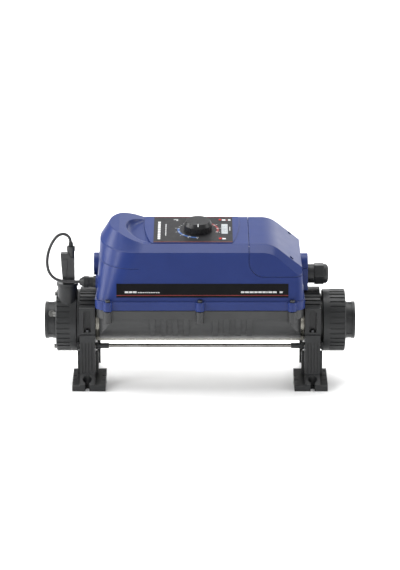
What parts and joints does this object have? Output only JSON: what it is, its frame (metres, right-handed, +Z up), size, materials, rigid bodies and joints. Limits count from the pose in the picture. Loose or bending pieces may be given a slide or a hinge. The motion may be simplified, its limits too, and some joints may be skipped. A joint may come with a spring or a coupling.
{
  "type": "electric pool water heater",
  "caption": "Inline electric pool heater: blue control housing over a metal flow tube on two clamp feet, with pipe unions, dial thermostat and flow switch.",
  "frame": {"origin": "centre of the footprint at the undersides of the feet", "axes": "+X along the pipe towards the outlet union, +Y to the back, +Z up; the control panel leans towards -Y"},
  "size_m": [0.49, 0.177, 0.2601],
  "materials": {
    "blue_plastic": "satin moulded",
    "grey_plastic": "fine texture",
    "black_plastic": "fine texture",
    "knob_plastic": "satin",
    "label_black": "printed film",
    "tube_metal": "brushed titanium",
    "screw_steel": "plated",
    "seal_rubber": "matte",
    "cable_sheath": "smooth",
    "window_clear": "clear",
    "lamp_red": "clear tint",
    "board_green": "solder mask",
    "module_black": "moulded",
    "plate_steel": "zinc plated",
    "block_white": "moulded",
    "wire_brown": "smooth",
    "element_metal": "oxidised alloy"
  },
  "bodies": {
    "heater": {"main_cover": "blue_plastic", "terminal_cover": "blue_plastic", "lower_casing": "grey_plastic", "right_clamp_band": "black_plastic", "left_clamp_band": "black_plastic", "right_foot": "black_plastic", "left_foot": "black_plastic", "outlet_adaptor": "black_plastic", "inlet_adaptor": "black_plastic", "inlet_collar": "black_plastic", "inlet_tail": "black_plastic", "tie_rod_nuts": "black_plastic", "flow_switch_body": "black_plastic", "flow_switch_plug": "black_plastic", "small_gland_body": "black_plastic", "small_gland_nut": "black_plastic", "small_gland_locknut": "black_plastic", "mains_gland_body": "black_plastic", "mains_gland_locknut": "black_plastic", "board_standoffs": "black_plastic", "control_label": "label_black", "front_label": "label_black", "flow_tube": "tube_metal", "cover_screws": "screw_steel", "terminal_cover_screws": "screw_steel", "clamp_screws": "screw_steel", "inlet_collar_screws": "screw_steel", "inlet_tail_plug": "screw_steel", "element_screws": "screw_steel", "element_terminals": "screw_steel", "terminal_screws": "screw_steel", "tie_rods": "screw_steel", "paddle_pin": "screw_steel", "temperature_sensor": "screw_steel", "cover_gasket": "seal_rubber", "tube_seals": "seal_rubber", "outlet_union_seal": "seal_rubber", "flow_switch_seal": "seal_rubber", "flow_switch_cable": "cable_sheath", "display_window": "window_clear", "indicator_lamps": "lamp_red", "control_board": "board_green", "display_module": "module_black", "dial_potentiometer": "module_black", "power_relay": "module_black", "overheat_cutout": "module_black", "chassis_plate": "plate_steel", "chassis_pillars": "plate_steel", "element_flange": "plate_steel", "terminal_block": "block_white", "internal_wires": "wire_brown", "heating_element": "element_metal"},
    "dial": {"dial_knob": "knob_plastic", "dial_shaft": "screw_steel"},
    "outlet_pipe_tail": {"outlet_tail": "black_plastic"},
    "outlet_nut": {"outlet_union_nut": "black_plastic"},
    "flow_vane": {"flow_paddle": "module_black"},
    "reset": {"reset_button": "lamp_red"},
    "gland_seal": {"mains_gland_seal": "seal_rubber"},
    "gland_nut": {"mains_gland_nut": "black_plastic"}
  },
  "joints": [
    {"name": "dial_turn", "type": "hinge", "parent": "heater", "child": "dial", "pos_m": [-0.003, -0.00098, 0.24013], "axis": [0, -0.1736, 0.9848], "range_deg": [-270, 0]},
    {"name": "outlet_tail_draw", "type": "slide", "parent": "heater", "child": "outlet_pipe_tail", "axis": [1, 0, 0], "range_m": [0, 0.0162]},
    {"name": "outlet_nut_turn", "type": "hinge", "parent": "outlet_pipe_tail", "child": "outlet_nut", "pos_m": [0.21, 0, 0.094], "axis": [1, 0, 0], "range_deg": [0, 1440]},
    {"name": "flow_vane_swing", "type": "hinge", "parent": "heater", "child": "flow_vane", "pos_m": [-0.2085, -0.02, 0.11], "axis": [0, -1, 0], "range_deg": [0, 22], "stiffness_Nm_per_rad": 0.004},
    {"name": "reset_press", "type": "slide", "parent": "heater", "child": "reset", "axis": [0, 0, -1], "range_m": [0, 0.0015], "stiffness_N_per_m": 400},
    {"name": "gland_seal_draw", "type": "slide", "parent": "heater", "child": "gland_seal", "axis": [1, 0, 0], "range_m": [0, 0.0032]},
    {"name": "gland_nut_turn", "type": "hinge", "parent": "gland_seal", "child": "gland_nut", "pos_m": [0.19, 0, 0.17], "axis": [1, 0, 0], "range_deg": [0, 720]}
  ],
  "couplings": [
    {"joint": "outlet_tail_draw", "follows": "outlet_nut_turn", "m_per_rad": 0.00063662},
    {"joint": "gland_seal_draw", "follows": "gland_nut_turn", "m_per_rad": 0.00023873}
  ]
}
